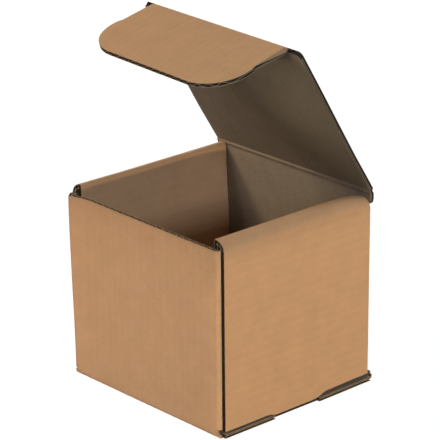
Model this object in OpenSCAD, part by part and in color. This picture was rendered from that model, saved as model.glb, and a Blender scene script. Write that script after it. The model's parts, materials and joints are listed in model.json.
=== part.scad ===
// Roll-end mailer box with a tuck-in lid flap, folded from one sheet of B-flute corrugated board.
// X runs along the front wall, Y from the front wall to the back wall, Z up from the floor.

/* [Board] */
// Thickness of the corrugated board
board_t = 2.9; // [2:0.1:4]
// Inside radius of a sharp crease
crease_r = 0.3; // [0.2:0.1:1]
// Clearance between two plies that lie face to face
ply_gap = 0.15; // [0.1:0.05:0.5]
// Clearance round each moving fold and between neighbouring panels
fold_gap = 0.3; // [0.2:0.05:0.8]

/* [Flutes] */
// Distance from one flute to the next
flute_pitch = 6.4; // [5:0.1:9]
// Thickness of each liner and of the fluted sheet, as they show at a cut edge
liner_t = 0.4; // [0.2:0.05:0.6]
// Width of the flat tip where the fluted sheet is glued to a liner
flute_tip = 1; // [0.5:0.1:2]
// How far the open flutes reach in from a cut edge
flute_depth = 2; // [0.5:0.1:5]

/* [Tray] */
// Inside width between the rolled side walls
inner_w = 127; // [90:1:200]
// Inside depth between the front wall and the back wall
inner_d = 125; // [90:1:200]
// Height of the rolled side walls
side_h = 132; // [80:1:200]
// How far the front wall's cut top lies below the side walls
front_drop = 6.3; // [3:0.1:30]
// Outside radius of the vertical corner folds
corner_r = 4; // [3.3:0.1:6]
// Gap left between the front and back dust flaps inside a side wall
dust_gap = 14; // [4:1:60]
// Height of the dust flaps' lower edge above the floor
dust_lift = 5.2; // [4.5:0.1:9]
// Rounding of the dust flaps' free corners
dust_r = 6; // [2:1:15]

/* [Side wall foot] */
// Length of the fold that joins a side wall to the base
foot_len = 39; // [20:1:60]
// Length of that tab where it widens into the side wall
foot_top_len = 50; // [30:1:80]
// Height of the notch beside the tab
notch_h = 4.7; // [4:0.1:8]
// How far the base's fold stands out past the front wall's corner
fold_ear = 2.2; // [0.5:0.1:2.5]

/* [Locking lugs] */
// Length of the lug on each inner wall
lug_len = 34; // [16:1:60]
// Clearance of the lug in its slot in the base
lug_gap = 0.25; // [0.15:0.05:0.6]

/* [Lid] */
// Angle of the lid above its closed place
lid_open = 59.7; // [0:0.1:90]
// Clearance between the closed tuck flap and the front wall
tuck_gap = 0.3; // [0.2:0.1:2]

/* [Tuck flap] */
// Bend of the tuck flap out of the lid's plane
flap_bend = 74.1; // [0:0.1:110]
// Sharpest bend of the tuck flap, as it swings in under the closing lid
flap_shut = 130; // [100:1:140]
// Depth of the tuck flap from its fold
flap_len = 62; // [50:1:90]
// Depth of the straight neck next to the fold
neck_len = 26.7; // [10:0.1:30]
// Clearance between each ear and the side wall's inner face
ear_gap = 0.3; // [0.2:0.1:3]
// How far the neck is cut back from the ear
neck_cut = 1.6; // [0.5:0.1:4]
// Depth over which the neck widens into the ear
flare_len = 5; // [2:0.5:8]
// Rounding of the ear
ear_r = 27; // [10:1:28]

/* [Hidden] */
$fn = 96;
kraft = "#b98f66";
kraft_shade = "#a9835d";

roll_w = 3 * board_t + 2 * ply_gap;
out_w = inner_w + 2 * roll_w;
out_d = inner_d + 2 * board_t;
front_h = side_h - front_drop;
crease_out = crease_r + board_t;
side_len = inner_d - 2 * fold_gap;
roll_r = roll_w - crease_out;
roll_z = side_h - roll_r;
dust_out = out_w / 2 - board_t - ply_gap;
corner_x = dust_out - corner_r;
corner_y = out_d / 2 - corner_r;
dust_len = corner_y - dust_gap / 2;
dust_top = roll_z - fold_gap;
lug_w = board_t + 2 * lug_gap;
lug_x = inner_w / 2 - lug_gap;
hinge_y = out_d / 2 - board_t / 2;
hinge_z = side_h + fold_gap + board_t / 2;
knuckle_r = board_t / 2;
back_h = hinge_z - knuckle_r - fold_gap;
lid_len = hinge_y + inner_d / 2 - tuck_gap - board_t / 2;
ear_w = inner_w - 2 * ear_gap;
neck_w = ear_w - 2 * neck_cut;
over = 0.01;

// Section of one open flute, with the liner above it and its tip below
module flute_section() {
    high = board_t / 2 - liner_t;
    low = liner_t - high;
    mouth = flute_pitch - flute_tip - 2 * liner_t;
    polygon([
        [-mouth / 2, high],
        [-flute_tip / 2, low],
        [flute_tip / 2, low],
        [mouth / 2, high]
    ]);
}

// One open flute along Y, from the given y
module flute(from, length) {
    translate([0, from + length, 0])
        rotate([90, 0, 0])
            linear_extrude(length)
                flute_section();
}

// Open flutes side by side along X, turn about under one liner and the other, that run in to -Y
module flute_row(width, depth) {
    half_pitch = flute_pitch / 2;
    steps = floor(width / flute_pitch - 1);
    for (i = [-steps:steps])
        translate([i * half_pitch, 0, 0])
            rotate([0, 180 * (i % 2), 0])
                flute(-depth, depth + over);
}

// Section of a board bent through a right angle, with its centre at the origin
module bend(inside_r) {
    intersection() {
        difference() {
            circle(inside_r + board_t);
            circle(inside_r);
        }
        square(inside_r + board_t);
    }
}

// Turns a section in the X-Z plane into a piece that runs along Y, centred
module run_y(length) {
    translate([0, length / 2, 0])
        rotate([90, 0, 0])
            linear_extrude(length)
                children();
}

// Turns a section in the Y-Z plane into a piece that runs along X, from the given x
module run_x(from, length) {
    translate([from, 0, 0])
        rotate([90, 0, 90])
            linear_extrude(length)
                children();
}

// Both sides of the box from the right-hand one
module both_sides() {
    children();
    mirror([1, 0, 0]) children();
}

// Front and back of the box from the back one
module both_ends() {
    children();
    mirror([0, 1, 0]) children();
}

// Base panel: full width along the cut thirds, narrower where the side wall's tab folds up
module base() {
    flat_d = inner_d - 2 * crease_r;
    fold_x = out_w / 2 - crease_out;
    difference() {
        translate([-out_w / 2, -flat_d / 2, 0])
            cube([out_w, flat_d, board_t]);
        both_sides() {
            translate([fold_x, -foot_len / 2, -over])
                cube([crease_out + over, foot_len, board_t + 2 * over]);
            translate([lug_x, -lug_len / 2 - lug_gap, -over])
                cube([lug_w, lug_len + 2 * lug_gap, board_t + 2 * over]);
            translate([out_w / 2, 0, board_t / 2])
                flute(-flat_d / 2 - over, flat_d + 2 * over);
        }
    }
}

// Crease along the front or back edge of the base
module base_crease() {
    crease_w = 2 * (out_w / 2 - fold_ear);
    run_x(-crease_w / 2, crease_w)
        translate([inner_d / 2 - crease_r, crease_out])
            mirror([0, 1])
                bend(crease_r);
}

// Upright panel between the corner folds, with a straight foot below them and its flutes open above
module end_wall(height) {
    difference() {
        translate([-corner_x, inner_d / 2, crease_out])
            cube([2 * corner_x, board_t, height - crease_out]);
        translate([0, inner_d / 2 + board_t / 2, height])
            rotate([90, 0, 0])
                flute_row(2 * corner_x, flute_depth);
    }
    translate([-dust_out + fold_gap, inner_d / 2, crease_out])
        cube([2 * (dust_out - fold_gap), board_t, dust_lift - crease_out]);
}

// Dust flap: tucked between the two plies of the side wall, with its free corners rounded
module dust_flap(height) {
    free_h = height - dust_lift;
    translate([0, 0, dust_lift])
        linear_extrude(free_h)
            translate([corner_x, corner_y])
                bend(corner_r - board_t);
    translate([dust_out - board_t, 0, 0])
        rotate([90, 0, 90])
            linear_extrude(board_t) {
                translate([corner_y - dust_len + dust_r, dust_lift])
                    square([dust_len - dust_r, free_h]);
                translate([corner_y - dust_len, dust_lift + dust_r])
                    square([dust_r + over, free_h - 2 * dust_r]);
                for (z = [dust_lift + dust_r, height - dust_r])
                    translate([corner_y - dust_len + dust_r, z])
                        circle(dust_r);
            }
}

// Outline of a side wall's outer panel, seen from the side: the notches beside the tab are cut away
module side_outline() {
    half = side_len / 2 + over;
    polygon([
        [-half, notch_h],
        [-foot_top_len / 2, notch_h],
        [-foot_len / 2, crease_out],
        [-foot_len / 2, -over],
        [foot_len / 2, -over],
        [foot_len / 2, crease_out],
        [foot_top_len / 2, notch_h],
        [half, notch_h],
        [half, side_h + over],
        [-half, side_h + over]
    ]);
}

// Open flutes up the front and back edges of a side wall's outer panel
module side_flutes() {
    both_ends()
        translate([out_w / 2 - board_t / 2, side_len / 2, (notch_h + roll_z) / 2])
            rotate([0, -90, 0])
                flute_row(roll_z - notch_h, flute_depth);
}

// Outer panel from the base's crease up, and the roll over the top
module outer_panel() {
    intersection() {
        run_y(side_len) {
            translate([out_w / 2 - crease_out, crease_out])
                mirror([0, 1])
                    bend(crease_r);
            translate([out_w / 2 - board_t, crease_out])
                square([board_t, roll_z - crease_out]);
            translate([out_w / 2 - roll_r, roll_z])
                bend(roll_r - board_t);
        }
        run_x(inner_w / 2, roll_w + over)
            side_outline();
    }
}

// One rolled side: up from the base, over the top and down to the inner panel
module side_wall() {
    difference() {
        outer_panel();
        side_flutes();
    }
    run_y(side_len)
        translate([inner_w / 2 + crease_out, side_h - crease_out])
            mirror([1, 0])
                bend(crease_r);
    inner_panel();
}

// Free end of the roll, held down by a lug in the base's slot
module inner_panel() {
    panel_z = board_t + fold_gap;
    translate([inner_w / 2, -side_len / 2, panel_z])
        cube([board_t, side_len, side_h - crease_out - panel_z]);
    translate([inner_w / 2, -lug_len / 2, lug_gap])
        cube([board_t, lug_len, panel_z]);
}

module tray() {
    color(kraft) {
        base();
        both_ends() base_crease();
        end_wall(back_h);
        mirror([0, 1, 0]) end_wall(front_h);
        both_sides() {
            side_wall();
            dust_flap(dust_top);
            mirror([0, 1, 0]) dust_flap(min(front_h, dust_top));
        }
    }
}

// Section of the lid, with its front edge cut back below so that the flap can fold in under it
module lid_section() {
    clear = knuckle_r + fold_gap;
    cut_low = (clear - cos(flap_shut) * knuckle_r) / sin(flap_shut);
    cut_z = clear * (sin(flap_shut) - 1) / cos(flap_shut);
    polygon([
        [0, -knuckle_r],
        [0, knuckle_r],
        [clear - lid_len, knuckle_r],
        [clear - lid_len, cut_z],
        [cut_low - lid_len, -knuckle_r]
    ]);
}

// Lid panel in its closed place, from the hinge axis at the origin towards the front. The cut side edges
// lay a flute open lengthwise.
module lid_panel() {
    difference() {
        lid_board();
        both_sides()
            translate([out_w / 2, 0, 0])
                flute(-lid_len - board_t, lid_len + 2 * board_t);
    }
}

// The lid's board with its round fold edges: the whole back edge, and the front one beside the flap's neck
module lid_board() {
    corner_w = (out_w - neck_w) / 2 - fold_gap;
    corner_l = 2 * board_t;
    run_x(-out_w / 2, out_w)
        lid_section();
    translate([-out_w / 2, 0, 0])
        rotate([0, 90, 0])
            cylinder(r = knuckle_r, h = out_w);
    both_sides()
        translate([out_w / 2 - corner_w, -lid_len, 0]) {
            translate([0, 0, -knuckle_r])
                cube([corner_w, corner_l, board_t]);
            rotate([0, 90, 0])
                cylinder(r = knuckle_r, h = corner_w);
        }
}

module lid() {
    color(kraft_shade)
        translate([0, hinge_y, hinge_z])
            rotate([-lid_open, 0, 0])
                lid_panel();
}

// Outline of the tuck flap: straight neck, flared ears and broad round corners
module flap_outline() {
    flare_end = neck_len + flare_len;
    translate([-neck_w / 2, -neck_len - over])
        square([neck_w, neck_len + over]);
    polygon([
        [-neck_w / 2, -neck_len],
        [neck_w / 2, -neck_len],
        [ear_w / 2, -flare_end],
        [-ear_w / 2, -flare_end]
    ]);
    translate([-ear_w / 2, ear_r - flap_len])
        square([ear_w, flap_len - ear_r - flare_end + over]);
    translate([ear_r - ear_w / 2, -flap_len])
        square([ear_w - 2 * ear_r, ear_r + over]);
    both_sides()
        translate([ear_w / 2 - ear_r, ear_r - flap_len])
            circle(ear_r);
}

// Open flutes along the free edge, down to a line that keeps the edge's own shape
module flap_flutes() {
    difference() {
        translate([0, -flap_len, 0])
            mirror([0, 1, 0])
                flute_row(ear_w, ear_r);
        translate([0, flute_depth, -board_t])
            linear_extrude(2 * board_t)
                flap_outline();
    }
}

module flap_panel() {
    difference() {
        translate([0, 0, -board_t / 2])
            linear_extrude(board_t)
                flap_outline();
        flap_flutes();
    }
    translate([-neck_w / 2, 0, 0])
        rotate([0, 90, 0])
            cylinder(r = knuckle_r, h = neck_w);
}

module tuck_flap() {
    color(kraft)
        translate([0, hinge_y, hinge_z])
            rotate([-lid_open, 0, 0])
                translate([0, -lid_len, 0])
                    rotate([flap_bend, 0, 0])
                        flap_panel();
}

tray();
lid();
tuck_flap();
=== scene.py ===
import json
import math
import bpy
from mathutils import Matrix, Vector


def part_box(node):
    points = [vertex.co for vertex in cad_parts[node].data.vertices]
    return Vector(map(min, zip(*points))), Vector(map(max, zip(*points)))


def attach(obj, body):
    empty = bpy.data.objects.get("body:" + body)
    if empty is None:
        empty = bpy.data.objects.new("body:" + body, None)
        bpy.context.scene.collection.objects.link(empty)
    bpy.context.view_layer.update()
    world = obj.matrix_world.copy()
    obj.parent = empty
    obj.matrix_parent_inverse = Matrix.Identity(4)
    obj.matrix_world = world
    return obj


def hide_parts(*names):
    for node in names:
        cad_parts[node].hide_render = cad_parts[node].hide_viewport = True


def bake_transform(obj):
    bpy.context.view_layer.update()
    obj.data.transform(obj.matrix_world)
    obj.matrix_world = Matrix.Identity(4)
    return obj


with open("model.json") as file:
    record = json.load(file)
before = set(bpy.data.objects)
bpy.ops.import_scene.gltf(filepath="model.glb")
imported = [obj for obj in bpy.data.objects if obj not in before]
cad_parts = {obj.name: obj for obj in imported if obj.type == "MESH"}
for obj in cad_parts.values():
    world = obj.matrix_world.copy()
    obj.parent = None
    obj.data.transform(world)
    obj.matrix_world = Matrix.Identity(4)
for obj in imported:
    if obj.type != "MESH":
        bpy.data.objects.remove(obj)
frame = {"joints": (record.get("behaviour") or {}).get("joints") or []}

from types import SimpleNamespace

import bmesh
import bpy
import numpy as np
from bpy.props import FloatProperty, FloatVectorProperty, PointerProperty, StringProperty
from bpy.types import Operator, Panel, PropertyGroup
from mathutils import Matrix, Vector

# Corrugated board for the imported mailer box. Every panel is laid out on the flat blank and then folded:
# u runs across the flutes, v runs along them, and w runs through the board to its outer liner.

bl_info = {
    "name": "Mailer Box Board",
    "version": (1, 0, 0),
    "blender": (4, 5, 0),
    "location": "3D View > Sidebar > Mailer Box",
    "description": "Builds a roll-end mailer box from fluted kraft board around its packed frame",
    "category": "Object",
}

MM = 0.001
# two distances closer together than this are one place, and a leg that curves by less is straight
SAME = 1e-9
# corners closer together than this are welded into one
WELD = 1e-7
# half the distance between the two stations at a step in a panel's outline
STEP = 0.001 * MM
# longest piece of a bend, number of stations on each flute, and rows of faces along a wall and a side
BEND_STEP = 0.45 * MM
PER_FLUTE = 12
WALL_ROWS, SIDE_ROWS = 26, 33
# edges that turn by more than this are shown sharp
SHARP_ANGLE = math.radians(38)
# where the strips lie on the blank's map, far enough apart that no two share a stretch of paper
WALL_MAP, LID_MAP, SIDE_MAP = 0.4, 0.6, (0.08, 1.2)
BLANK_MAP = "blank"
# paper slots: outer liner, inner liner, fluting paper darkened as painted shade, cut edge
OUTER, INNER, FLUTE_SHADE, EDGE = range(4)
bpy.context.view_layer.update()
TRAY_LOW, TRAY_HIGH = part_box("tray")
FOLD_JOINTS = {joint["name"]: joint for joint in frame["joints"]}


def size(name, default, description):
    """A length that the user can change, in metres."""
    return FloatProperty(
        name=name, description=description, default=default, min=0.0,
        precision=5, unit="LENGTH", subtype="DISTANCE",
    )


def turn(name, default, description):
    """An angle that the user can change."""
    return FloatProperty(
        name=name, description=description, default=math.radians(default),
        unit="ROTATION", subtype="ANGLE",
    )


def paint(name, default, description):
    """A colour that the user can change, as an sRGB hex value."""
    return StringProperty(name=name, description=description, default=default)


class BoardSizes(PropertyGroup):
    """The board itself: two liners with a fluted sheet between them"""
    thickness: size("Thickness", 2.9 * MM, "Thickness of the whole board")
    liner: size("Liner", 0.32 * MM, "Thickness of each flat liner")
    medium: size("Fluted sheet", 0.36 * MM, "Thickness of the fluted sheet between the liners")
    pitch: size("Flute pitch", 6.4 * MM, "Distance from one flute to the next")
    sag: size("Washboard", 0.07 * MM, "How far a liner sinks between two flute tips")
    gap: size("Ply gap", 0.15 * MM, "Air between two plies that lie face to face")
    ridge: FloatProperty(name="Crease ridge", default=0.75, min=0.0, max=1.0,
                         description="How much of a square corner the outer liner fills at a sharp crease")
    crease: size("Crease radius", 0.3 * MM, "Inside radius of a sharp crease")
    running: size("Running gap", 0.3 * MM, "Air between neighbouring panels")


class TraySizes(PropertyGroup):
    """The tray with its rolled side walls"""
    width: size("Width", TRAY_HIGH.x - TRAY_LOW.x, "Outside width")
    depth: size("Depth", TRAY_HIGH.y - TRAY_LOW.y, "Outside depth")
    height: size("Height", TRAY_HIGH.z - TRAY_LOW.z, "Height of the rolled side walls")
    front_drop: size("Front drop", 6.3 * MM, "How far the front wall ends below the side walls")
    corner: size("Corner radius", 4.0 * MM, "Outside radius of the vertical folds")
    dust_gap: size("Dust flap gap", 14.0 * MM, "Gap between the two dust flaps inside a side wall")
    dust_lift: size("Dust flap lift", 5.2 * MM, "Height of the dust flaps' lower edge")
    foot: size("Foot fold", 39.0 * MM, "Length of the fold between base and side wall")
    foot_top: size("Foot top", 50.0 * MM, "Length of the side wall's tab at the top of its notches")
    notch: size("Notch height", 4.7 * MM, "Height of the notches beside the tab")
    fold_ear: size("Fold ear", 2.2 * MM, "How far the base's own fold ends inside the side")
    lug: size("Lug length", 34.0 * MM, "Length of the locking lug on each inner wall")
    lug_gap: size("Lug gap", 0.25 * MM, "Air round the lug in its slot")


class SlackSizes(PropertyGroup):
    """How far the used box in the photo has given way from its drawn shape"""
    corner_out: size("Left corner", 0.9 * MM, "How far the left front corner stands out to the side")
    fold_out: size("Fold bulge", 3.4 * MM, "How far the front wall's left fold bulges past that")
    tip_drop: size("Fold tip", 1.8 * MM, "How far that fold's outermost top is rounded down")
    setback: size("Edge setback", 4.0 * MM, "How far the left outer panel ends behind that fold")
    crush: size("Crushed roll", 2.7 * MM, "How far the right roll is pressed down at its back end")
    left_shoulder: size("Left shoulder", 0.9 * MM, "How far the left roll falls off at its outer edge")
    left_crest: size("Left crest", 1.8 * MM, "How far the left roll stands proud at its inner edge")
    right_shoulder: size("Right shoulder", 1.2 * MM, "How far the right roll falls off at its outer edge")
    lean: size("Leaning ply", 3.6 * MM, "How far the left inner panel leans in at the back")
    spread: size("Base corner", 3.3 * MM, "How far the base's right back corner is pushed back")
    split_low: FloatProperty(name="Split start", default=0.38, min=0.0, max=1.0,
                             description="Where the outer liner's split starts in the side wall's foot fold")
    split_high: FloatProperty(name="Split end", default=0.99, min=0.0, max=1.0,
                              description="Where the outer liner's split ends in the side wall's foot fold")
    swell: size("Back swell", 1.9 * MM, "How far the right wall's back edge stands out at its top")
    tilt: size("Front tilt", 0.5 * MM, "How far the front wall's top rises to the left")
    bead: size("Hinge bead", 0.9 * MM, "Height of the bead that the hinge's crease pushes up inside")
    bead_half: size("Bead half width", 1.2 * MM, "Half the width of that bead")
    hollow: size("Hollow", 0.405 * MM, "Depth of the hollow beside the bead, on the lid's side")
    hollow_half: size("Hollow half width", 0.8 * MM, "Half the width of that hollow")
    hollow_off: size("Hollow distance", 2.3 * MM, "Distance from the bead's crest to the hollow")
    bow: size("Lid bow", 1.4 * MM, "How far the lid's right edge bows out")
    twist: size("Flap twist", 2.2 * MM, "How far the flap's left ear stands above its right one")
    dip: size("Fold dip", 2.0 * MM, "How far the lid's front fold drops to its right end")


class LidSizes(PropertyGroup):
    """The lid and its tuck flap"""
    opened: turn("Lid angle", 59.7, "Angle of the lid above its closed place")
    bend: turn("Flap bend", 74.1, "Bend of the tuck flap out of the lid's plane")
    hinge_ear: size("Hinge ear", 6.0 * MM, "How far the hinge's ends reach down beside the back wall's folds")
    fold_radius: size("Fold radius", 4.1 * MM, "Radius of the soft fold, at the middle of the board")
    rounding: size("Corner rounding", 4.0 * MM, "Rounding of the lid's four corners")
    ear_turn: FloatProperty(name="Ear turn", default=0.4, min=0.0, max=1.0,
                            description="How far round the fold the raw ends beside the neck reach")
    flap: size("Flap depth", 62.0 * MM, "Depth of the tuck flap from its fold")
    neck: size("Neck depth", 26.7 * MM, "Depth of the flap's straight neck")
    neck_cut: size("Neck cut", 1.6 * MM, "How far the neck is cut back from the ears")
    flare: size("Flare", 5.0 * MM, "Depth over which the neck widens into the ears")
    ear_radius: size("Ear radius", 27.0 * MM, "Rounding of the ears")


class BoardColours(PropertyGroup):
    """Colours of the board's layers and of the stage"""
    outer: paint("Outer liner", "#C09267", "Smooth kraft liner on the outside")
    inner: paint("Inner liner", "#8A7862", "Coarser test liner on the inside")
    # the fluting paper's dark colour is painted shade of the flutes' hollows, also used as painted shade on
    # cut edges in the dark
    medium: paint("Fluted sheet", "#453526", "Fluting paper and the liners' backs, in the dark of the flutes")
    edge: paint("Cut edge", "#AE916C", "Cut edge of a liner")
    floor: paint("Floor", "#6C6C6C", "Studio floor, as the box sees it")


class StageSizes(PropertyGroup):
    """The camera"""
    camera: FloatVectorProperty(
        name="Camera place", description="Where the camera stands", size=3,
        default=(1.1856, -1.0650, 0.7120), unit="LENGTH", subtype="TRANSLATION", precision=4,
    )
    yaw: turn("Yaw", 48.07, "Turn of the camera to the left of the box's depth")
    pitch: turn("Pitch", 20.68, "How far the camera looks down")
    roll: turn("Roll", 0.57, "Tilt of the camera about its line of sight")
    lens: FloatProperty(
        name="Lens", description="Focal length on a 36 mm sensor", default=216.2,
        unit="CAMERA", subtype="NONE",
    )


def linear(code):
    """An sRGB hex value as linear RGBA."""
    values = [int(code[i:i + 2], 16) / 255 for i in (1, 3, 5)]
    return [c / 12.92 if c <= 0.04045 else ((c + 0.055) / 1.055) ** 2.4 for c in values] + [1.0]


def sizes():
    """Every length in one place: what the panel sets and what follows from it."""
    scene = bpy.context.scene
    b, t, lid = scene.mailer_board, scene.mailer_tray, scene.mailer_lid
    z = SimpleNamespace(board=b, tray=t, lid=lid, slack=scene.mailer_slack)
    z.half = b.thickness / 2
    # a sharp crease, at the outer liner and at the middle of the board
    z.crease_out = b.crease + b.thickness
    z.crease_mid = b.crease + z.half
    # the roll on a side wall is three plies wide and turns through two bends
    z.roll_width = 3 * b.thickness + 2 * b.gap
    z.roll_out = z.roll_width - z.crease_out
    # faces of the side walls and of the front and back walls, outside and inside
    z.side_x = t.width / 2
    z.inner_x = z.side_x - z.roll_width
    z.side_y = t.depth / 2
    z.inner_y = z.side_y - b.thickness
    z.panel_y = z.inner_y - b.running
    z.front_top = t.height - t.front_drop
    # the dust flaps' outer face and the straight stretches between the vertical folds
    z.dust_x = z.side_x - b.thickness - b.gap
    z.corner_mid = t.corner - z.half
    z.corner_x = z.dust_x - t.corner
    z.corner_y = z.side_y - t.corner
    # the two moving folds, and how far the flap's soft one reaches to either side
    z.hinge = Vector(FOLD_JOINTS["lid_hinge"]["pos_m"])
    z.fold = Vector(FOLD_JOINTS["flap_fold"]["pos_m"])
    z.lid_length = (z.fold - z.hinge).length
    z.fold_reach = lid.fold_radius * math.tan(lid.bend / 2)
    z.ear_x = z.inner_x - b.running
    z.neck_x = z.ear_x - lid.neck_cut
    return z


def ease(x, low, high):
    """0 up to low and 1 from high on, with a soft step between; low may lie above high."""
    t = np.clip((x - low) / (high - low), 0.0, 1.0)
    return t * t * (3 - 2 * t)


def bend(radius, degrees):
    """A leg of a fold line that turns by an angle, to the left where it is positive."""
    return radius * abs(math.radians(degrees)), degrees


def fold_line(start, heading, legs):
    """The middle of the board in section, as a function of the distance along it.

    Each leg is (length, turn in degrees). The function gives the point and the left-hand normal."""
    rows = []
    x, y, angle, gone = start[0], start[1], math.radians(heading), 0.0
    for length, degrees in legs:
        curve = math.radians(degrees) / length
        rows.append((gone, x, y, angle, curve))
        after = angle + curve * length
        if abs(curve) > SAME:
            x += (math.sin(after) - math.sin(angle)) / curve
            y += (math.cos(angle) - math.cos(after)) / curve
        else:
            x += length * math.cos(angle)
            y += length * math.sin(angle)
        angle = after
        gone += length
    table = np.array(rows)

    def at(s):
        leg = table[np.clip(np.searchsorted(table[:, 0], s + SAME, "right") - 1, 0, len(table) - 1)]
        first, px, py, a, k = np.moveaxis(leg, -1, 0)
        gone_on = s - first
        end = a + k * gone_on
        flat = np.abs(k) < SAME
        safe = np.where(flat, 1.0, k)
        dx = np.where(flat, gone_on * np.cos(a), (np.sin(end) - np.sin(a)) / safe)
        dy = np.where(flat, gone_on * np.sin(a), (np.cos(a) - np.cos(end)) / safe)
        return px + dx, py + dy, -np.sin(end), np.cos(end)

    at.joins = np.append(table[:, 0], gone)
    at.bends = [(r[0], r[0] + leg[0]) for r, leg in zip(rows, legs) if leg[1]]
    return at


def apart(found):
    """The distances in order, with no two that are the same point."""
    kept = sorted(found)
    return np.array([s for i, s in enumerate(kept) if i == 0 or s - kept[i - 1] > WELD])


def stations(line, low, high, flat_step):
    """Distances along a fold line: sparse on the flat, close together in the bends."""
    found = {low, high}
    for first, last in zip(line.joins[:-1], line.joins[1:]):
        first, last = max(first, low), min(last, high)
        if last <= first:
            continue
        bent = any(a - SAME <= first and last <= b + SAME for a, b in line.bends)
        count = max(1, math.ceil((last - first) / (BEND_STEP if bent else flat_step)))
        found.update(np.linspace(first, last, count + 1))
    return apart(found)


def both_sides(places):
    """Two stations at each step of an outline, one just before it and one just after."""
    return [place + side for place in places for side in (-STEP, STEP)]


def mirrored(places):
    """The places and their mirror images on the other side of the centre line."""
    return [*places, *(-place for place in places)]


def flute_stations(low, high, pitch, extra=()):
    """Distances across the flutes, a whole number of them to each flute, with some more of one's own."""
    step = pitch / PER_FLUTE
    inside = np.arange(math.ceil(low / step), math.floor(high / step) + 1) * step
    return apart({low, high, *inside, *(e for e in extra if low < e < high)})


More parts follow.
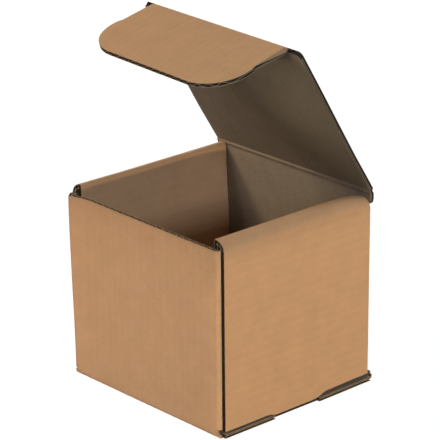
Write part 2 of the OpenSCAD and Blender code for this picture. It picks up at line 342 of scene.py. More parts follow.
class Sheet:
    """Collects the layers of one piece of board and makes them into one mesh.

    line is the fold line in section, and bends names the blank's direction that follows it. axes are the
    ways that the section's two directions and the run beside it point in the box, and outer is 1 where the
    outer liner lies to the line's left. blank is where the piece lies on the blank. warp moves a point of
    the folded box, dent sinks the board along the line, sharp lists the creases with a ridge, shaded picks
    the cut edges that lie in the dark, which get the dark fluting paper as painted shade, and slit is where
    the outer liner is split."""

    def __init__(self, name, board, line, axes, outer, bends, blank=(0.0, 0.0)):
        self.name, self.board, self.line = name, board, line
        self.axes = [Vector(a) for a in axes]
        self.outer, self.bends, self.blank = outer, bends, blank
        self.points, self.maps, self.faces, self.kinds = [], [], [], []
        self.count = 0
        self.warp = self.dent = self.painted_shade = None
        self.sharp = self.slit = ()

    def place(self, u, v, w):
        """From the flat blank to the folded box."""
        s, run = (u, v) if self.bends == "u" else (v, u)
        px, py, nx, ny = self.line(s)
        # the outer liner bulges out towards the square corner of a sharp crease
        for first, last in self.sharp:
            turned = np.clip((s - first) / (last - first), 0, 1) * math.pi / 2
            corner = 1 / np.cos(np.minimum(turned, math.pi / 2 - turned)) - 1
            w = w + np.where(w > 0, self.board.ridge * self.board.thickness * corner, 0.0)
        if self.dent:
            w = w - self.dent(s)
        a = px + self.outer * nx * w
        b = py + self.outer * ny * w
        ax, bx, rx = (np.array(axis) for axis in self.axes)
        found = a[..., None] * ax + b[..., None] * bx + run[..., None] * rx
        if self.warp:
            found += np.stack(np.broadcast_arrays(*self.warp(*np.moveaxis(found, -1, 0))), -1)
        return found

    def slab(self, u, v, low, high, top_kind, under_kind):
        """One closed layer between two heights over a grid of the blank."""
        rows, cols = u.shape
        first = self.count
        for w in (high, low):
            self.points.append(self.place(u, v, w).reshape(-1, 3))
            self.maps.append(np.stack([u + self.blank[0], v + self.blank[1]], -1).reshape(-1, 2))
        self.count += 2 * rows * cols
        top = first + np.arange(rows * cols).reshape(rows, cols)
        under = top + rows * cols
        skin = np.stack([top[:-1, :-1], top[1:, :-1], top[1:, 1:], top[:-1, 1:]], -1).reshape(-1, 4)
        back = np.stack([under[:-1, :-1], under[:-1, 1:], under[1:, 1:], under[1:, :-1]], -1).reshape(-1, 4)
        self.faces += [skin, back]
        self.kinds += [np.full(len(skin), top_kind), np.full(len(back), under_kind)]
        ring = np.concatenate([top[:-1, 0], top[-1, :-1], top[:0:-1, -1], top[0, :0:-1]])
        after = np.roll(ring, -1)
        self.faces.append(np.stack([ring, after, after + rows * cols, ring + rows * cols], -1))
        # cut edges picked by shaded get the dark fluting paper as painted shade, the rest their own cut-edge
        # colour
        dark = self.painted_shade(u, v).ravel()[ring - first] if self.painted_shade else np.zeros(len(ring), bool)
        self.kinds.append(np.where(dark, FLUTE_SHADE, EDGE))

    def patch(self, us, vs, v_low, v_high):
        """All three layers over the stretch of blank between v_low(u) and v_high(u)."""
        b = self.board
        low = np.broadcast_to(v_low, us.shape)[:, None]
        high = np.broadcast_to(v_high, us.shape)[:, None]
        v = np.clip(vs[None, :], low, high)
        v[:, 0], v[:, -1] = low[:, 0], high[:, 0]
        u = np.broadcast_to(us[:, None], v.shape)
        # the fluted sheet touches the outer liner where the wave is 1 and the inner one where it is -1
        wave = np.cos(2 * math.pi * (u + self.blank[0]) / b.pitch)
        half = b.thickness / 2
        outside = half - b.sag * (1 - wave) / 2
        inside = -half + b.sag * (1 + wave) / 2
        reach = half - b.liner - b.medium / 2
        self.slit_slabs(u, v, outside, us)
        self.slab(u, v, inside, inside + b.liner, FLUTE_SHADE, INNER)
        self.slab(u, v, reach * wave - b.medium / 2, reach * wave + b.medium / 2, FLUTE_SHADE, FLUTE_SHADE)

    def slit_slabs(self, u, v, outside, us):
        """The outer liner, left open between the two ends of its slit where it has one."""
        parts = [slice(None)]
        if self.slit:
            parts = [us <= self.slit[0] + WELD, us >= self.slit[1] - WELD]
        for part in parts:
            top = outside[part]
            self.slab(u[part], v[part], top - self.board.liner, top, OUTER, FLUTE_SHADE)

    def build(self, materials):
        """The finished object, with the blank's own coordinates as its UV map."""
        mesh = bpy.data.meshes.new(self.name)
        points = np.concatenate(self.points)
        faces = np.concatenate(self.faces)
        mesh.from_pydata(points.tolist(), [], faces.tolist())
        layer = mesh.uv_layers.new(name=BLANK_MAP)
        layer.uv.foreach_set("vector", np.concatenate(self.maps)[faces.ravel()].astype(np.float32).ravel())
        mesh.polygons.foreach_set("material_index", np.concatenate(self.kinds).astype(np.int32))
        for material in materials:
            mesh.materials.append(material)
        work = bmesh.new()
        work.from_mesh(mesh)
        bmesh.ops.remove_doubles(work, verts=work.verts, dist=WELD)
        bmesh.ops.dissolve_degenerate(work, edges=work.edges, dist=WELD)
        bmesh.ops.recalc_face_normals(work, faces=work.faces)
        work.to_mesh(mesh)
        work.free()
        mesh.shade_smooth()
        mesh.set_sharp_from_angle(angle=SHARP_ANGLE)
        made = bpy.data.objects.new(self.name, mesh)
        bpy.context.scene.collection.objects.link(made)
        return made


def add(tree, kind, links=None, **settings):
    """A node with its settings, its values and the links into it."""
    made = tree.nodes.new(kind)
    for name, value in settings.items():
        setattr(made, name, value)
    for socket, value in (links or {}).items():
        if isinstance(value, bpy.types.NodeSocket):
            tree.links.new(value, made.inputs[socket])
        else:
            made.inputs[socket].default_value = value
    return made


# the papers' patterns, in millimetres as drawn: clouds of pulp, the width of a fibre, more than a real
# one's so that it shows, its width over its length, and the cells that the shives are scattered in
CLOUD, FIBRE, FIBRE_SHAPE, SHIVES = 14, 0.9, 0.35, 3.2
# the clouds' noise lies mostly between these two values, which give the darkest and the lightest paper
DARKEST, LIGHTEST = 0.32, 0.68
# how much paler the liner is over the tips of the flutes, and a shive's tone beside the paper's
FLUTE_SHOW, SHIVE_TONE = 0.012, 0.45


def paper(name, colour, mottle, grain, flecks, roughness):
    """Unbleached paper laid on the blank: clouds from the pulp, fibres and the flutes showing through.

    mottle and grain are the shares by which the clouds and the fibres lighten and darken it, and flecks is
    how much of its colour a shive covers."""
    material = bpy.data.materials.new(name)
    material.use_nodes = True
    tree = material.node_tree
    tree.nodes.clear()
    board = bpy.context.scene.mailer_board
    place = add(tree, "ShaderNodeUVMap", uv_map=BLANK_MAP)
    # one unit of the pattern is one millimetre of paper
    in_mm = add(tree, "ShaderNodeVectorMath", {0: place.outputs["UV"], 1: (1 / MM, 1 / MM, 1 / MM)},
                operation="MULTIPLY")
    at = in_mm.outputs[0]
    # the pulp settles in clouds, which give a sheet its soft light and dark blotches
    cloud = add(tree, "ShaderNodeTexNoise", {"Vector": at, "Scale": 1 / CLOUD, "Detail": 5.0,
                                             "Roughness": 0.62})
    # the fibres lie across the flutes, the way that the paper machine ran, and give a fine grain
    lay = add(tree, "ShaderNodeVectorMath", {0: at, 1: (FIBRE_SHAPE, 1.0, 1.0)}, operation="MULTIPLY")
    fibre = add(tree, "ShaderNodeTexNoise", {"Vector": lay.outputs[0], "Scale": 1 / FIBRE, "Detail": 3.0,
                                             "Roughness": 0.7})
    parts = add(tree, "ShaderNodeSeparateXYZ", {0: at})
    phase = add(tree, "ShaderNodeMath", {0: parts.outputs["X"], 1: 2 * math.pi * MM / board.pitch},
                operation="MULTIPLY")
    wave = add(tree, "ShaderNodeMath", {0: phase.outputs[0]}, operation="COSINE")
    base = linear(colour)
    dark = [c * (1 - mottle) for c in base[:3]] + [1.0]
    light = [c * (1 + mottle) for c in base[:3]] + [1.0]
    toned = add(tree, "ShaderNodeValToRGB", {"Fac": cloud.outputs["Fac"]})
    toned.color_ramp.elements[0].position = DARKEST
    toned.color_ramp.elements[0].color = dark
    toned.color_ramp.elements[1].position = LIGHTEST
    toned.color_ramp.elements[1].color = light
    speckle = add(tree, "ShaderNodeMapRange", {
        "Value": fibre.outputs["Fac"], "From Min": 0.3, "From Max": 0.7,
        "To Min": 1 - grain, "To Max": 1 + grain})
    # the flutes show through as faint bands, paler over the tips that touch the outer liner
    ridge = add(tree, "ShaderNodeMath", {0: wave.outputs[0], 1: FLUTE_SHOW, 2: speckle.outputs[0]},
                operation="MULTIPLY_ADD")
    shade = add(tree, "ShaderNodeVectorMath", {0: toned.outputs["Color"], "Scale": ridge.outputs[0]},
                operation="SCALE")
    colour_out = shade.outputs[0]
    if flecks:
        # dark shives from coarse pulp, up to 1 mm wide and 3 mm long, about one to the square centimetre
        spots = add(tree, "ShaderNodeTexVoronoi", {"Vector": lay.outputs[0], "Scale": 1 / SHIVES})
        near = add(tree, "ShaderNodeMapRange", {"Value": spots.outputs["Distance"], "From Min": 0.05,
                                                "From Max": 0.16, "To Min": flecks, "To Max": 0.0})
        mixed = add(tree, "ShaderNodeMix", {"Factor": near.outputs[0], 6: colour_out,
                                            7: [c * SHIVE_TONE for c in base[:3]] + [1.0]},
                    data_type="RGBA")
        colour_out = mixed.outputs[2]
    # fibres and clouds make one relief, a few hundredths of a millimetre deep
    height = add(tree, "ShaderNodeMath", {0: fibre.outputs["Fac"], 1: 0.6, 2: cloud.outputs["Fac"]},
                 operation="MULTIPLY_ADD")
    relief = add(tree, "ShaderNodeBump", {"Height": height.outputs[0], "Strength": 0.35,
                                          "Distance": 0.05 * MM})
    surface = add(tree, "ShaderNodeBsdfPrincipled", {
        "Base Color": colour_out, "Roughness": roughness, "IOR": 1.5, "Specular IOR Level": 0.5,
        "Normal": relief.outputs["Normal"]})
    add(tree, "ShaderNodeOutputMaterial", {"Surface": surface.outputs[0]})
    return material


def board_materials():
    """The four papers of the board, made once and shared by every panel."""
    names = ("kraft_liner_smooth", "test_liner_coarse", "fluting_paper_painted_shade", "paper_cut_edge")
    if names[0] in bpy.data.materials:
        return [bpy.data.materials[name] for name in names]
    c = bpy.context.scene.mailer_colours
    return [
        # kraft liner: smooth and even in tone
        paper(names[0], c.outer, mottle=0.045, grain=0.05, flecks=0.0, roughness=0.82),
        # test liner from recycled pulp: blotchy, grainy and flecked
        paper(names[1], c.inner, mottle=0.08, grain=0.12, flecks=0.5, roughness=0.92),
        # fluting paper: rough, its dark colour is painted shade of the flutes' hollows, and the same painted
        # shade is put on cut edges that lie in the dark
        paper(names[2], c.medium, mottle=0.05, grain=0.08, flecks=0.0, roughness=0.95),
        # cut edge: matt, with the fibres' ends showing
        paper(names[3], c.edge, mottle=0.05, grain=0.15, flecks=0.0, roughness=0.95),
    ]


def corner_push(z, x, y):
    """The left front corner's move to the side, shared by every panel that meets there."""
    to_side, to_front = (45 * MM, 70 * MM), (15 * MM, 62 * MM)
    return -z.slack.corner_out * ease(-x, *to_side) * ease(-y, *to_front)


def shoulder(z, x, h, drop, rise):
    """The roll's top, which falls off to its outer shoulder and stands proud at its inner crease."""
    across = np.clip((z.side_x - np.abs(x)) / z.roll_width, 0, 1)
    near_top = (95 * MM, 128 * MM)
    return ((drop + rise) * across - drop) * ease(h, *near_top)


def back_swell(z, x, y, h):
    """The right back corner's move to the side, half as large at the floor as at the top."""
    to_side, to_back = (45 * MM, 70 * MM), (25 * MM, 62 * MM)
    return z.slack.swell * ease(x, *to_side) * ease(y, *to_back) * (0.5 + 0.5 * h / z.tray.height)


def roll_crush(z, y, h):
    """The right roll's sink towards its back end, for the roll and for the dust flap inside it."""
    start, near_top = 44 * MM, (108 * MM, 130 * MM)
    along = np.clip((y - start) / (z.panel_y - start), 0, 1)
    return -z.slack.crush * along ** 2 * ease(h, *near_top)


def wall_sheet(z, back):
    """Front or back wall with its two dust flaps: one strip round the inside of three sides."""
    t, b = z.tray, z.board
    far = 1 if back else -1
    flap = z.corner_y - t.dust_gap / 2
    legs = [(flap, 0), bend(z.corner_mid, -90), (2 * z.corner_x, 0), bend(z.corner_mid, -90), (flap, 0)]
    line = fold_line((z.dust_x - z.half, -t.dust_gap / 2), -90, legs)
    top = z.front_top if not back else z.hinge.z - 2 * z.crease_mid
    dust_top = z.front_top if not back else t.height - z.roll_out - b.running
    name = "back_wall_board" if back else "front_wall_board"
    sheet = Sheet(name, b, line, ((1, 0, 0), (0, -far, 0), (0, 0, 1)), 1, "u",
                  blank=(-line.joins[-1] / 2, WALL_MAP * far))
    corners = line.joins[1:5]
    us = flute_stations(0.0, line.joins[-1], b.pitch, [*both_sides(corners[1:3]), corners[0], corners[3]])
    flat = (us > corners[1]) & (us < corners[2])
    low = np.where(flat, z.crease_out, t.dust_lift)
    high = np.where(flat, top, dust_top)
    vs = np.linspace(z.crease_out, max(top, dust_top), WALL_ROWS)

    def front_slack(x, y, h):
        # the left fold bulges forward and by less to the side, at the floor about half as far as at the top
        to_side, to_front, up_to = (52 * MM, 68 * MM), (50 * MM, 62 * MM), (0.0, 120 * MM)
        at_floor, aside = 0.54, 0.65
        fold = ease(-x, *to_side) * ease(-y, *to_front) * (at_floor + (1 - at_floor) * ease(h, *up_to))
        bulge = z.slack.fold_out * fold
        # the wall's top rises to the left of a level place, which is given as a share of half the width
        level_at = 0.2
        up = z.slack.tilt * (level_at - x / z.side_x) * h / z.front_top
        # the fold's tip that lies furthest to the left in the photo is rounded down
        leftward = -0.668 * x - 0.744 * y
        tip = ease(leftward, 92.0 * MM, 93.6 * MM) * ease(h, 100 * MM, z.front_top)
        return corner_push(z, x, y) - aside * bulge, -bulge, up - z.slack.tip_drop * tip

    def back_slack(x, y, h):
        on_flap = ease(x, 58 * MM, 64 * MM) * ease(y, z.inner_y, z.corner_y)
        return back_swell(z, x, y, h), 0.0, roll_crush(z, y, h) * on_flap

    sheet.warp = back_slack if back else front_slack
    sheet.patch(us, vs, low, high)
    return sheet


def base_sheet(z):
    """The base with its front and back creases, its slots and the cut thirds of its sides."""
    t, b = z.tray, z.board
    flat = 2 * (z.inner_y - b.crease)
    rise = t.dust_lift - z.crease_out
    legs = [(rise, 0), bend(z.crease_mid, 90), (flat, 0), bend(z.crease_mid, 90), (rise, 0)]
    line = fold_line((-z.side_y + z.half, t.dust_lift), -90, legs)
    middle = line.joins[-1] / 2
    sheet = Sheet("base_board", b, line, ((0, 1, 0), (0, 0, 1), (1, 0, 0)), -1, "v", blank=(0.0, -middle))
    rise_top, crease_top, flat_end = line.joins[:3]
    slot_in, slot_out = z.inner_x - t.lug_gap, z.inner_x + b.thickness + t.lug_gap
    slot_y = t.lug / 2 + t.lug_gap
    foot_x = z.side_x - z.crease_out
    ear_x = z.side_x - t.fold_ear
    outer_x = z.dust_x - b.running

    def end(x):
        """Distance from the middle of the base to where the sheet stops, at x from the centre line."""
        # under the wall and at the ear it ends with the crease, under the dust flap it reaches up to that,
        # and past the ear it is flat
        return np.select([x < z.corner_x, x < outer_x, x < ear_x],
                         [middle - crease_top, middle - rise_top, middle - crease_top], middle - flat_end)

    def zone(x0, x1, v0, v1):
        """One stretch from x0 to x1, and from v0 to v1 measured from the middle, None for the sheet's end."""
        us = flute_stations(x0, x1, b.pitch, mirrored(both_sides((z.corner_x, outer_x, ear_x))))
        low = middle - end(np.abs(us)) if v0 is None else np.full_like(us, middle + v0)
        high = middle + end(np.abs(us)) if v1 is None else np.full_like(us, middle + v1)
        vs = stations(line, float(low.min()), float(high.max()), flat_step=9 * MM)
        sheet.patch(us, vs, low, high)

    def slack(x, y, h):
        # the right back corner goes back in full, and a part of that also aside and up
        loose = z.slack.spread * ease(x, 45 * MM, 72 * MM) * ease(y, 20 * MM, 64 * MM)
        aside, upward = 0.2, 0.27
        return corner_push(z, x, y) + aside * loose, loose, upward * loose

    sheet.warp = slack
    sheet.sharp = [(line.joins[1], line.joins[2]), (line.joins[3], line.joins[4])]
    zone(-slot_in, slot_in, None, None)
    for side in (-1, 1):
        for x0, x1, gap in ((slot_in, slot_out, slot_y), (foot_x, z.side_x, t.foot / 2)):
            left, right = sorted((side * x0, side * x1))
            zone(left, right, None, -gap)
            zone(left, right, gap, None)
        left, right = sorted((side * slot_out, side * foot_x))
        zone(left, right, None, None)
    return sheet


def side_sheet(z, right):
    """Outer panel, the roll over the top and the inner panel with its lug, folded up from the base."""
    t, b = z.tray, z.board
    rise = t.height - z.roll_out - z.crease_out
    drop = t.height - z.crease_out - b.thickness - b.running
    legs = [bend(z.crease_mid, 90), (rise, 0), bend(z.roll_out - z.half, 90), bend(z.crease_mid, 90),
            (drop, 0), (b.thickness + b.running - t.lug_gap, 0)]
    line = fold_line((z.side_x - z.crease_out, z.half), 0, legs)
    hand = 1 if right else -1
    name = "right_side_board" if right else "left_side_board"
    sheet = Sheet(name, b, line, ((hand, 0, 0), (0, 0, 1), (0, 1, 0)), -1, "u",
                  blank=(SIDE_MAP[0], SIDE_MAP[1] * hand))
    foot = line.joins[1]
    notch = foot + t.notch - z.crease_out
    hem = line.joins[5]
    slit = [foot * z.slack.split_low, foot * z.slack.split_high]
    steps = both_sides((notch, hem))
    us = flute_stations(0.0, line.joins[-1], b.pitch, [*line.joins[1:-1], *steps, *slit])
    reach = np.interp(us, [0, foot, *steps],
                      [t.foot / 2, t.foot / 2, t.foot_top / 2, z.panel_y, z.panel_y, t.lug / 2])
    rim = t.height - z.roll_out
    roll_start = line.joins[2]
    sheet.sharp = [(line.joins[3], line.joins[4])]
    # painted shade: the cut edges of the outer panel up to the roll and of the inner panel get the dark
    # fluting paper
    sheet.painted_shade = lambda u, v: (u < roll_start) | (u > line.joins[4])
    sheet.slit = slit
    front = reach
    if not right:
        # the outer panel's front edge falls back from its notch up, and comes forward again under the roll
        outer_panel = (us > notch) & (us < roll_start)
        forward, fallen = roll_start - 1.5 * MM, roll_start - 6 * MM
        front = reach - z.slack.setback * outer_panel * ease(us, forward, fallen)

    def left_slack(x, y, h):
        # only the inner panel leans in: towards the back, most of all in its lower half, not at its foot
        inner_panel = x > -z.inner_x - b.thickness - b.gap / 3
        at_rim = 0.3
        height = (at_rim + (1 - at_rim) * ease(h, rim, 70 * MM)) * ease(h, 3 * MM, 30 * MM)
        lean = z.slack.lean * ease(y, 8 * MM, z.panel_y) * height * inner_panel
        # the outer panel gives way sideways behind the bulging fold, a part as far as that bulges
        share = 0.3
        outward = ease(-x, z.dust_x - b.thickness, z.dust_x) * ease(-y, 46 * MM, 60 * MM)
        push = share * z.slack.fold_out * outward * ease(rim - h, 0.0, 4 * MM)
        up = shoulder(z, x, h, z.slack.left_shoulder, z.slack.left_crest)
        return corner_push(z, x, y) + lean - push, 0.0, up

    def right_slack(x, y, h):
        # the outer panel's lower edge follows the base's loose corner up, in two runs beside its tab
        near, far = 0.35 * ease(y, 12 * MM, 24 * MM), 0.5 * ease(y, 22 * MM, 62 * MM)
        outer_panel = (h > t.notch / 2) & (x > z.dust_x)
        rise = z.slack.spread * (near + far) * ease(h, 30 * MM, t.notch) * outer_panel
        top = roll_crush(z, y, h) + shoulder(z, x, h, z.slack.right_shoulder, 0.0)
        return back_swell(z, x, y, h), 0.0, top + rise

    sheet.warp = right_slack if right else left_slack
    vs = np.linspace(-z.panel_y, z.panel_y, SIDE_ROWS)
    sheet.patch(us, vs, -front, reach)
    return sheet


def lid_line(z):
    """The back wall's top, the lid and the tuck flap in section, with the blank's zero at the hinge."""
    lid = z.lid
    lift = 2 * z.crease_mid
    lean = 90 - math.degrees(lid.opened)
    soft = lift / 2
    hinge_radius = soft / math.tan(math.radians(lean / 2))
    legs = [(lid.hinge_ear, 0), (lift - soft, 0), bend(hinge_radius, lean),
            (z.lid_length - soft - z.fold_reach, 0),
            bend(lid.fold_radius, math.degrees(lid.bend)), (lid.flap - z.fold_reach, 0)]
    return fold_line((z.hinge.y, z.hinge.z - lift - lid.hinge_ear), 90, legs)


def fold_dip(z, x):
    """The drop of the lid's front fold towards its right end, shared by the lid and the flap."""
    level_x, full_x = -50 * MM, 60 * MM
    return -z.slack.dip * (x - level_x) / (full_x - level_x)


def lid_sheet(z):
    """The lid panel from the back wall's top to its front fold, with the fold's raw ends beside the neck."""
    b, lid = z.board, z.lid
    line = lid_line(z)
    sheet = Sheet("lid_board", b, line, ((0, 1, 0), (0, 0, 1), (1, 0, 0)), -1, "v", blank=(0.0, LID_MAP))
    cut = z.neck_x + b.running
    us = flute_stations(-z.side_x, z.side_x, b.pitch, mirrored(both_sides((z.corner_x, cut))))
    x = np.abs(us)
    fold_start, fold_end = line.joins[4:6]
    past = np.clip(x - z.side_x + lid.rounding, 0, lid.rounding)
    rounded = lid.rounding - np.sqrt(np.maximum(lid.rounding ** 2 - past ** 2, 0))
    high = np.where(x < cut, fold_start, fold_start + lid.ear_turn * (fold_end - fold_start)) - rounded
    low = np.where(x < z.corner_x, lid.hinge_ear, rounded)

    def bead(s):
        """The crease's bead, pushed up on the inside, with a hollow beside it on the lid's side."""
        loose = z.slack
        crest = (line.joins[2] + line.joins[3]) / 2
        hollow = crest + loose.hollow_off
        raised = loose.bead * np.exp(-((s - crest) / loose.bead_half) ** 2)
        return raised - loose.hollow * np.exp(-((s - hollow) / loose.hollow_half) ** 2)

    def slack(x, y, h):
        along = np.clip((h - z.hinge.z) / (z.fold.z - z.hinge.z), 0, 1)
        # the hinge's two ends sit further right, as the swollen back corner does, and the right edge bows
        at_hinge = 0.9 * z.slack.swell * ease(np.abs(x), 50 * MM, z.side_x) * (1 - ease(along, 0.0, 0.3))
        bow = z.slack.bow * np.sin(math.pi * along) * ease(x, 30 * MM, z.side_x)
        return bow + at_hinge, 0.0, fold_dip(z, x) * ease(along, 0.0, 0.60)

    sheet.dent, sheet.warp = bead, slack
    # painted shade: the cut edges near the front fold's raw ends get the dark fluting paper
    sheet.painted_shade = lambda u, v: v > fold_start - lid.rounding
    vs = stations(line, 0.0, float(high.max()), flat_step=6 * MM)
    sheet.patch(us, vs, low, high)
    return sheet


def flap_sheet(z):
    """The tuck flap from the lid's soft fold to its rounded front edge."""
    b, lid = z.board, z.lid
    line = lid_line(z)
    sheet = Sheet("tuck_flap_board", b, line, ((0, 1, 0), (0, 0, 1), (1, 0, 0)), -1, "v",
                  blank=(0.0, LID_MAP))
    start = line.joins[4]
    # the flap's depths are measured from where its fold would be if it were sharp
    sharp = line.joins[5] - z.fold_reach
    flat_x = z.ear_x - lid.ear_radius
    # a station every 3 degrees round the ears, and some across the flare
    arc = [flat_x + lid.ear_radius * math.sin(math.radians(a)) for a in range(0, 91, 3)]
    slope = np.linspace(z.neck_x, z.ear_x, num=7)
    us = flute_stations(-z.ear_x, z.ear_x, b.pitch, mirrored([*arc, *slope]))
    x = np.abs(us)
    inside = np.clip(x - flat_x, 0, lid.ear_radius)
    tip = sharp + lid.flap - lid.ear_radius + np.sqrt(np.maximum(lid.ear_radius ** 2 - inside ** 2, 0))
    past = np.clip((x - z.neck_x) / (z.ear_x - z.neck_x), 0, 1)
    low = np.where(x <= z.neck_x, start, sharp + lid.neck + lid.flare * past)
    vs = stations(line, start, float(tip.max()), flat_step=3 * MM)

    def slack(x, y, h):
        along = np.clip((z.fold.y - y) / lid.flap, 0, 1)
        return 0.0, 0.0, fold_dip(z, x) * (1 - along) - z.slack.twist * along * x / z.ear_x

    sheet.warp = slack
    sheet.patch(us, vs, low, tip)
    return sheet


class MAILER_OT_base(Operator):
    """Make the base panel"""
    bl_idname = "mailer.base"
    bl_label = "Base"

    def execute(self, context):
        piece = base_sheet(sizes()).build(board_materials())
        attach(piece, "tray")
        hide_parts("tray")
        return {"FINISHED"}


class MAILER_OT_walls(Operator):
    """Make the front and back walls with their dust flaps"""
    bl_idname = "mailer.walls"
    bl_label = "Front and back walls"

    def execute(self, context):
        for back in (False, True):
            piece = wall_sheet(sizes(), back).build(board_materials())
            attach(piece, "tray")
            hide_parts("tray")
        return {"FINISHED"}


class MAILER_OT_sides(Operator):
    """Make the rolled side walls"""
    bl_idname = "mailer.sides"
    bl_label = "Rolled side walls"

    def execute(self, context):
        for right in (False, True):
            piece = side_sheet(sizes(), right).build(board_materials())
            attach(piece, "tray")
            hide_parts("tray")
        return {"FINISHED"}


class MAILER_OT_lid(Operator):
    """Make the lid, which bends at its hinge on the back wall"""
    bl_idname = "mailer.lid"
    bl_label = "Lid"

    def execute(self, context):
        z = sizes()
        piece = lid_sheet(z).build(board_materials())
        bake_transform(piece)
        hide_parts("lid")
        return {"FINISHED"}


class MAILER_OT_flap(Operator):
    """Make the tuck flap, which bends at its fold on the lid"""
    bl_idname = "mailer.flap"
    bl_label = "Tuck flap"

    def execute(self, context):
        z = sizes()
        piece = flap_sheet(z).build(board_materials())
        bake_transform(piece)
        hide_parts("tuck_flap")
        return {"FINISHED"}


def lamp(name, place, target, width, height, power, colour, spread=180):
    """A soft box that points at the object, with a grid in front where its spread is narrow."""
    data = bpy.data.lights.new(name, "AREA")
    data.shape = "RECTANGLE"
    data.size, data.size_y = width, height
    data.energy = power
    data.color = colour
    data.spread = math.radians(spread)
    made = bpy.data.objects.new(name, data)
    made.location = place
    made.rotation_euler = (Vector(target) - Vector(place)).to_track_quat("-Z", "Y").to_euler()
    bpy.context.scene.collection.objects.link(made)


def lamps():
    """Strips for the walls and the lid, and soft boxes from four sides."""
    middle = (0, 0, 0.08)
    # narrow grids and a slight tilt down keep these two on the walls and off the inside of the lid
    lamp("right_strip", place=(1.3, 0.0, 0.084), target=(0, 0, 0.058), width=0.5, height=0.140,
         power=0.122, colour=(1.0, 0.79, 0.49), spread=2)
    lamp("front_strip", place=(0.0, -1.3, 0.078), target=(0, 0, 0.052), width=0.5, height=0.136,
         power=0.081, colour=(0.96, 1.0, 0.97), spread=2)
    # this one points up over the front wall at the inside of the lid
    lamp("lid_strip", place=(0.065, -1.3, 0.100), target=(0.065, 0.02, 0.200), width=0.12, height=0.07,
         power=0.0086, colour=(1.0, 0.92, 0.76), spread=5)
    lamp("right_soft_box", place=(1.296, -0.194, 0.573), target=middle, width=0.25, height=0.25,
         power=8.0, colour=(0.65, 0.80, 1.0))
    lamp("left_soft_box", place=(-0.729, -0.774, 0.991), target=middle, width=0.25, height=0.25,
         power=9.3, colour=(1.0, 0.88, 0.67))
    lamp("front_soft_box", place=(-0.396, -1.013, 0.961), target=middle, width=0.2, height=0.2,
         power=2.8, colour=(1.0, 0.93, 0.93))
    # low enough behind the box to light its back without reaching inside or the top of the flap
    lamp("back_soft_box", place=(-0.5, 1.25, 0.25), target=middle, width=0.4, height=0.4,
         power=12.0, colour=(1.0, 0.95, 0.90))


def seen_white(tree):
    """1 for the camera's rays and for reflections of them, and 0 for the light that falls on the box."""
    rays = add(tree, "ShaderNodeLightPath")
    either = add(tree, "ShaderNodeMath", {
        0: rays.outputs["Is Camera Ray"], 1: rays.outputs["Is Glossy Ray"]}, operation="MAXIMUM")
    return either.outputs[0]


def floor_material():
    """Matt studio paper, lifted to white for the camera with the object's shadow left in it."""
    material = bpy.data.materials.new("matt_studio_paper")
    material.use_nodes = True
    tree = material.node_tree
    tree.nodes.clear()
    paper_side = add(tree, "ShaderNodeBsdfDiffuse", {
        "Color": linear(bpy.context.scene.mailer_colours.floor), "Roughness": 0.9})
    full_lift = 0.94
    lift = add(tree, "ShaderNodeMath", {0: seen_white(tree), 1: full_lift}, operation="MULTIPLY")
    glow = add(tree, "ShaderNodeEmission", {"Color": (1, 1, 1, 1), "Strength": lift.outputs[0]})
    both = add(tree, "ShaderNodeAddShader", {0: paper_side.outputs[0], 1: glow.outputs[0]})
    add(tree, "ShaderNodeOutputMaterial", {"Surface": both.outputs[0]})
    return material


def studio_floor():
    """A floor that reaches far past the picture."""
    mesh = bpy.data.meshes.new("floor")
    reach = 6.0
    mesh.from_pydata([(-reach, -reach, 0), (reach, -reach, 0), (reach, reach, 0), (-reach, reach, 0)],
                     [], [(0, 1, 2, 3)])
    mesh.materials.append(floor_material())
    floor = bpy.data.objects.new("floor", mesh)
    bpy.context.scene.collection.objects.link(floor)


def studio_sky():
    """Cool light from above, weak at the horizon and full from 50 degrees up, and white for the camera."""
    world = bpy.data.worlds.new("studio")
    bpy.context.scene.world = world
    world.use_nodes = True
    tree = world.node_tree
    tree.nodes.clear()
    seen = seen_white(tree)
    way = add(tree, "ShaderNodeTexCoord")
    height = add(tree, "ShaderNodeSeparateXYZ", {0: way.outputs["Generated"]})
    dome = add(tree, "ShaderNodeMapRange", {
        "Value": height.outputs["Z"], "From Min": 0.0, "From Max": 0.77, "To Min": 0.11, "To Max": 0.21})
    sky = add(tree, "ShaderNodeBackground", {"Color": (0.57, 0.79, 1.0, 1.0), "Strength": dome.outputs[0]})
    card = add(tree, "ShaderNodeBackground", {"Color": (1, 1, 1, 1), "Strength": 1.0})
    mix = add(tree, "ShaderNodeMixShader", {0: seen, 1: sky.outputs[0], 2: card.outputs[0]})
    add(tree, "ShaderNodeOutputWorld", {"Surface": mix.outputs[0]})


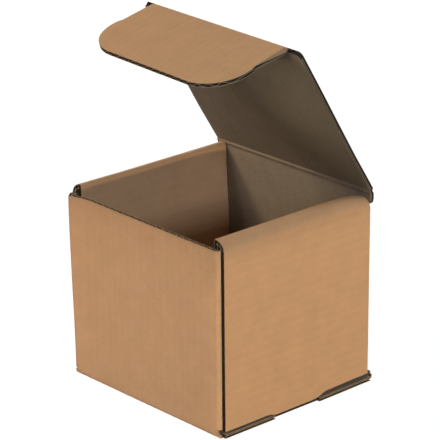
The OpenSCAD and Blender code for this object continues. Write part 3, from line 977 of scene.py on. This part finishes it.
def photo_camera():
    """The camera that stands where the photo was taken from."""
    scene = bpy.context.scene
    s = scene.mailer_stage
    data = bpy.data.cameras.new("photo_camera")
    data.sensor_width, data.lens = 36.0, s.lens
    data.clip_end = 20.0
    camera = bpy.data.objects.new("photo_camera", data)
    ahead = Vector((-math.cos(s.pitch) * math.sin(s.yaw), math.cos(s.pitch) * math.cos(s.yaw),
                    -math.sin(s.pitch)))
    right = Vector((math.cos(s.yaw), math.sin(s.yaw), 0))
    up = right.cross(ahead)
    right, up = (right * math.cos(s.roll) - up * math.sin(s.roll),
                 right * math.sin(s.roll) + up * math.cos(s.roll))
    turned = Matrix((right, up, -ahead)).transposed().to_4x4()
    camera.matrix_world = Matrix.Translation(s.camera) @ turned
    scene.collection.objects.link(camera)
    scene.camera = camera


class MAILER_OT_stage(Operator):
    """Make the floor, the lamps, the sky and the camera"""
    bl_idname = "mailer.stage"
    bl_label = "Stage"

    def execute(self, context):
        studio_floor()
        lamps()
        studio_sky()
        photo_camera()
        context.scene.view_settings.view_transform = "Standard"
        return {"FINISHED"}


class MAILER_PT_panel(Panel):
    """Sizes, colours and one button for each step"""
    bl_label = "Mailer Box"
    bl_idname = "MAILER_PT_panel"
    bl_space_type = "VIEW_3D"
    bl_region_type = "UI"
    bl_category = "Mailer Box"

    def draw(self, context):
        layout = self.layout
        for group in GROUPS:
            values = getattr(context.scene, GROUPS[group])
            for name in group.__annotations__:
                layout.prop(values, name)
        for step in STEPS:
            layout.operator(step.bl_idname)


GROUPS = {
    BoardSizes: "mailer_board",
    TraySizes: "mailer_tray",
    LidSizes: "mailer_lid",
    SlackSizes: "mailer_slack",
    BoardColours: "mailer_colours",
    StageSizes: "mailer_stage",
}
STEPS = (MAILER_OT_base, MAILER_OT_walls, MAILER_OT_sides, MAILER_OT_lid, MAILER_OT_flap, MAILER_OT_stage)


def register():
    """Add the sizes, the steps and the panel to Blender."""
    for kind in (*GROUPS, *STEPS, MAILER_PT_panel):
        bpy.utils.register_class(kind)
    for kind, name in GROUPS.items():
        setattr(bpy.types.Scene, name, PointerProperty(type=kind))


def unregister():
    """Take them out again."""
    for name in GROUPS.values():
        delattr(bpy.types.Scene, name)
    for kind in reversed((*GROUPS, *STEPS, MAILER_PT_panel)):
        bpy.utils.unregister_class(kind)


def main():
    """Make every piece and the stage."""
    register()
    for step in STEPS:
        group, name = step.bl_idname.split(".")
        getattr(getattr(bpy.ops, group), name)()


if __name__ == "__main__":
    main()
